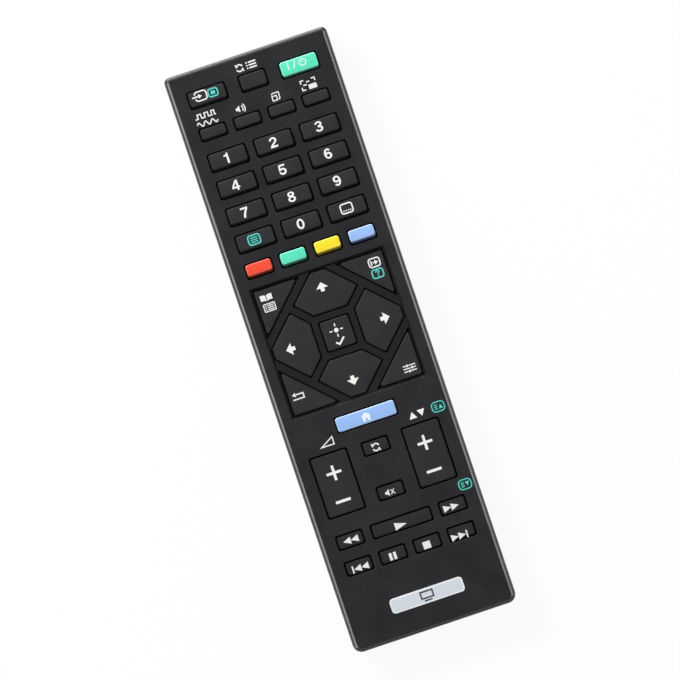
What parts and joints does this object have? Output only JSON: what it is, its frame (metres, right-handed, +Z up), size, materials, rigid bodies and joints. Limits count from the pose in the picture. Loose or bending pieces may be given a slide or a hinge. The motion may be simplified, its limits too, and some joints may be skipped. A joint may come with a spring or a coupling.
{
  "type": "tv remote control",
  "caption": "Slim rectangular tv remote control with raised number keys, a square ring of arrow keys, two rockers and a sliding battery door.",
  "frame": {"origin": "middle of the underside, at the bottom of the bounding box", "axes": "X across the keys, +Y along the length towards the end with the infrared lamp, +Z up out of the keys"},
  "size_m": [0.048, 0.17, 0.0207],
  "materials": {
    "casing": "fine even grain, satin",
    "key": "soft matte",
    "mint": "satin",
    "sky": "satin",
    "red": "satin",
    "green": "satin",
    "yellow": "satin",
    "blue": "satin",
    "plate": "satin",
    "mat": "matte",
    "board": "satin",
    "chip": "matte",
    "lamp": "clear, dark tinted",
    "resonator": "satin",
    "can": "satin",
    "cell": "printed jacket with bare metal ends",
    "contact": "nickel plated"
  },
  "bodies": {
    "remote_body": {"front_casing": "casing", "rear_casing": "casing", "keypad_mat": "mat", "circuit_board": "board", "controller_chip": "chip", "infrared_lamp": "lamp", "resonator": "resonator", "capacitor": "can", "resistors": "chip", "battery_left": "cell", "battery_right": "cell", "negative_contact": "contact", "positive_contact": "contact", "bridge_contact": "contact", "name_plate": "plate"},
    "door": {"battery_door": "casing"},
    "volume_rocker": {"volume_rocker": "key"},
    "programme_rocker": {"programme_rocker": "key"},
    "power_key": {"power_key": "mint"},
    "home_key": {"home_key": "sky"},
    "red_key": {"red_key": "red"},
    "green_key": {"green_key": "green"},
    "yellow_key": {"yellow_key": "yellow"},
    "blue_key": {"blue_key": "blue"},
    "input_key": {"input_key": "key"},
    "menu_key": {"menu_key": "key"},
    "broadcast_key": {"broadcast_key": "key"},
    "audio_key": {"audio_key": "key"},
    "depth_key": {"depth_key": "key"},
    "format_key": {"format_key": "key"},
    "number_key_0": {"number_key_0": "key"},
    "number_key_1": {"number_key_1": "key"},
    "number_key_2": {"number_key_2": "key"},
    "number_key_3": {"number_key_3": "key"},
    "number_key_4": {"number_key_4": "key"},
    "number_key_5": {"number_key_5": "key"},
    "number_key_6": {"number_key_6": "key"},
    "number_key_7": {"number_key_7": "key"},
    "number_key_8": {"number_key_8": "key"},
    "number_key_9": {"number_key_9": "key"},
    "text_key": {"text_key": "key"},
    "subtitle_key": {"subtitle_key": "key"},
    "guide_key": {"guide_key": "key"},
    "info_key": {"info_key": "key"},
    "options_key": {"options_key": "key"},
    "return_key": {"return_key": "key"},
    "up_key": {"up_key": "key"},
    "down_key": {"down_key": "key"},
    "left_key": {"left_key": "key"},
    "right_key": {"right_key": "key"},
    "select_key": {"select_key": "key"},
    "swap_key": {"swap_key": "key"},
    "mute_key": {"mute_key": "key"},
    "rewind_key": {"rewind_key": "key"},
    "play_key": {"play_key": "key"},
    "forward_key": {"forward_key": "key"},
    "previous_key": {"previous_key": "key"},
    "pause_key": {"pause_key": "key"},
    "stop_key": {"stop_key": "key"},
    "next_key": {"next_key": "key"}
  },
  "joints": [
    {"name": "door_slide", "type": "slide", "parent": "remote_body", "child": "door", "axis": [0, -1, 0], "range_m": [0, 0.068]},
    {"name": "volume_rocker_tip", "type": "hinge", "parent": "remote_body", "child": "volume_rocker", "pos_m": [-0.0135, -0.0378, 0.0156], "axis": [1, 0, 0], "range_deg": [-2.5, 2.5], "stiffness_Nm_per_rad": 0.2},
    {"name": "programme_rocker_tip", "type": "hinge", "parent": "remote_body", "child": "programme_rocker", "pos_m": [0.0135, -0.0378, 0.0156], "axis": [1, 0, 0], "range_deg": [-2.5, 2.5], "stiffness_Nm_per_rad": 0.2},
    {"name": "power_key_press", "type": "slide", "parent": "remote_body", "child": "power_key", "axis": [0, 0, 1], "range_m": [-0.001, 0], "stiffness_N_per_m": 900, "springref_m": 0.0003},
    {"name": "number_key_5_press", "type": "slide", "parent": "remote_body", "child": "number_key_5", "axis": [0, 0, 1], "range_m": [-0.001, 0], "stiffness_N_per_m": 900, "springref_m": 0.0003},
    {"name": "red_key_press", "type": "slide", "parent": "remote_body", "child": "red_key", "axis": [0, 0, 1], "range_m": [-0.001, 0], "stiffness_N_per_m": 900, "springref_m": 0.0003},
    {"name": "blue_key_press", "type": "slide", "parent": "remote_body", "child": "blue_key", "axis": [0, 0, 1], "range_m": [-0.001, 0], "stiffness_N_per_m": 900, "springref_m": 0.0003},
    {"name": "up_key_press", "type": "slide", "parent": "remote_body", "child": "up_key", "axis": [0, 0, 1], "range_m": [-0.001, 0], "stiffness_N_per_m": 900, "springref_m": 0.0003},
    {"name": "right_key_press", "type": "slide", "parent": "remote_body", "child": "right_key", "axis": [0, 0, 1], "range_m": [-0.001, 0], "stiffness_N_per_m": 900, "springref_m": 0.0003},
    {"name": "guide_key_press", "type": "slide", "parent": "remote_body", "child": "guide_key", "axis": [0, 0, 1], "range_m": [-0.001, 0], "stiffness_N_per_m": 900, "springref_m": 0.0003},
    {"name": "select_key_press", "type": "slide", "parent": "remote_body", "child": "select_key", "axis": [0, 0, 1], "range_m": [-0.001, 0], "stiffness_N_per_m": 900, "springref_m": 0.0003},
    {"name": "home_key_press", "type": "slide", "parent": "remote_body", "child": "home_key", "axis": [0, 0, 1], "range_m": [-0.001, 0], "stiffness_N_per_m": 900, "springref_m": 0.0003},
    {"name": "mute_key_press", "type": "slide", "parent": "remote_body", "child": "mute_key", "axis": [0, 0, 1], "range_m": [-0.001, 0], "stiffness_N_per_m": 900, "springref_m": 0.0003},
    {"name": "play_key_press", "type": "slide", "parent": "remote_body", "child": "play_key", "axis": [0, 0, 1], "range_m": [-0.001, 0], "stiffness_N_per_m": 900, "springref_m": 0.0003},
    {"name": "next_key_press", "type": "slide", "parent": "remote_body", "child": "next_key", "axis": [0, 0, 1], "range_m": [-0.001, 0], "stiffness_N_per_m": 900, "springref_m": 0.0003},
    {"name": "input_key_press", "type": "slide", "parent": "remote_body", "child": "input_key", "axis": [0, 0, 1], "range_m": [-0.001, 0], "stiffness_N_per_m": 900, "springref_m": 0.0003},
    {"name": "broadcast_key_press", "type": "slide", "parent": "remote_body", "child": "broadcast_key", "axis": [0, 0, 1], "range_m": [-0.001, 0], "stiffness_N_per_m": 900, "springref_m": 0.0003},
    {"name": "green_key_press", "type": "slide", "parent": "remote_body", "child": "green_key", "axis": [0, 0, 1], "range_m": [-0.001, 0], "stiffness_N_per_m": 900, "springref_m": 0.0003},
    {"name": "yellow_key_press", "type": "slide", "parent": "remote_body", "child": "yellow_key", "axis": [0, 0, 1], "range_m": [-0.001, 0], "stiffness_N_per_m": 900, "springref_m": 0.0003},
    {"name": "menu_key_press", "type": "slide", "parent": "remote_body", "child": "menu_key", "axis": [0, 0, 1], "range_m": [-0.001, 0], "stiffness_N_per_m": 900, "springref_m": 0.0003},
    {"name": "audio_key_press", "type": "slide", "parent": "remote_body", "child": "audio_key", "axis": [0, 0, 1], "range_m": [-0.001, 0], "stiffness_N_per_m": 900, "springref_m": 0.0003},
    {"name": "depth_key_press", "type": "slide", "parent": "remote_body", "child": "depth_key", "axis": [0, 0, 1], "range_m": [-0.001, 0], "stiffness_N_per_m": 900, "springref_m": 0.0003},
    {"name": "format_key_press", "type": "slide", "parent": "remote_body", "child": "format_key", "axis": [0, 0, 1], "range_m": [-0.001, 0], "stiffness_N_per_m": 900, "springref_m": 0.0003},
    {"name": "number_key_0_press", "type": "slide", "parent": "remote_body", "child": "number_key_0", "axis": [0, 0, 1], "range_m": [-0.001, 0], "stiffness_N_per_m": 900, "springref_m": 0.0003},
    {"name": "number_key_1_press", "type": "slide", "parent": "remote_body", "child": "number_key_1", "axis": [0, 0, 1], "range_m": [-0.001, 0], "stiffness_N_per_m": 900, "springref_m": 0.0003},
    {"name": "number_key_2_press", "type": "slide", "parent": "remote_body", "child": "number_key_2", "axis": [0, 0, 1], "range_m": [-0.001, 0], "stiffness_N_per_m": 900, "springref_m": 0.0003},
    {"name": "number_key_3_press", "type": "slide", "parent": "remote_body", "child": "number_key_3", "axis": [0, 0, 1], "range_m": [-0.001, 0], "stiffness_N_per_m": 900, "springref_m": 0.0003},
    {"name": "number_key_4_press", "type": "slide", "parent": "remote_body", "child": "number_key_4", "axis": [0, 0, 1], "range_m": [-0.001, 0], "stiffness_N_per_m": 900, "springref_m": 0.0003},
    {"name": "number_key_6_press", "type": "slide", "parent": "remote_body", "child": "number_key_6", "axis": [0, 0, 1], "range_m": [-0.001, 0], "stiffness_N_per_m": 900, "springref_m": 0.0003},
    {"name": "number_key_7_press", "type": "slide", "parent": "remote_body", "child": "number_key_7", "axis": [0, 0, 1], "range_m": [-0.001, 0], "stiffness_N_per_m": 900, "springref_m": 0.0003},
    {"name": "number_key_8_press", "type": "slide", "parent": "remote_body", "child": "number_key_8", "axis": [0, 0, 1], "range_m": [-0.001, 0], "stiffness_N_per_m": 900, "springref_m": 0.0003},
    {"name": "number_key_9_press", "type": "slide", "parent": "remote_body", "child": "number_key_9", "axis": [0, 0, 1], "range_m": [-0.001, 0], "stiffness_N_per_m": 900, "springref_m": 0.0003},
    {"name": "text_key_press", "type": "slide", "parent": "remote_body", "child": "text_key", "axis": [0, 0, 1], "range_m": [-0.001, 0], "stiffness_N_per_m": 900, "springref_m": 0.0003},
    {"name": "subtitle_key_press", "type": "slide", "parent": "remote_body", "child": "subtitle_key", "axis": [0, 0, 1], "range_m": [-0.001, 0], "stiffness_N_per_m": 900, "springref_m": 0.0003},
    {"name": "info_key_press", "type": "slide", "parent": "remote_body", "child": "info_key", "axis": [0, 0, 1], "range_m": [-0.001, 0], "stiffness_N_per_m": 900, "springref_m": 0.0003},
    {"name": "options_key_press", "type": "slide", "parent": "remote_body", "child": "options_key", "axis": [0, 0, 1], "range_m": [-0.001, 0], "stiffness_N_per_m": 900, "springref_m": 0.0003},
    {"name": "return_key_press", "type": "slide", "parent": "remote_body", "child": "return_key", "axis": [0, 0, 1], "range_m": [-0.001, 0], "stiffness_N_per_m": 900, "springref_m": 0.0003},
    {"name": "down_key_press", "type": "slide", "parent": "remote_body", "child": "down_key", "axis": [0, 0, 1], "range_m": [-0.001, 0], "stiffness_N_per_m": 900, "springref_m": 0.0003},
    {"name": "left_key_press", "type": "slide", "parent": "remote_body", "child": "left_key", "axis": [0, 0, 1], "range_m": [-0.001, 0], "stiffness_N_per_m": 900, "springref_m": 0.0003},
    {"name": "swap_key_press", "type": "slide", "parent": "remote_body", "child": "swap_key", "axis": [0, 0, 1], "range_m": [-0.001, 0], "stiffness_N_per_m": 900, "springref_m": 0.0003},
    {"name": "rewind_key_press", "type": "slide", "parent": "remote_body", "child": "rewind_key", "axis": [0, 0, 1], "range_m": [-0.001, 0], "stiffness_N_per_m": 900, "springref_m": 0.0003},
    {"name": "forward_key_press", "type": "slide", "parent": "remote_body", "child": "forward_key", "axis": [0, 0, 1], "range_m": [-0.001, 0], "stiffness_N_per_m": 900, "springref_m": 0.0003},
    {"name": "previous_key_press", "type": "slide", "parent": "remote_body", "child": "previous_key", "axis": [0, 0, 1], "range_m": [-0.001, 0], "stiffness_N_per_m": 900, "springref_m": 0.0003},
    {"name": "pause_key_press", "type": "slide", "parent": "remote_body", "child": "pause_key", "axis": [0, 0, 1], "range_m": [-0.001, 0], "stiffness_N_per_m": 900, "springref_m": 0.0003},
    {"name": "stop_key_press", "type": "slide", "parent": "remote_body", "child": "stop_key", "axis": [0, 0, 1], "range_m": [-0.001, 0], "stiffness_N_per_m": 900, "springref_m": 0.0003}
  ]
}
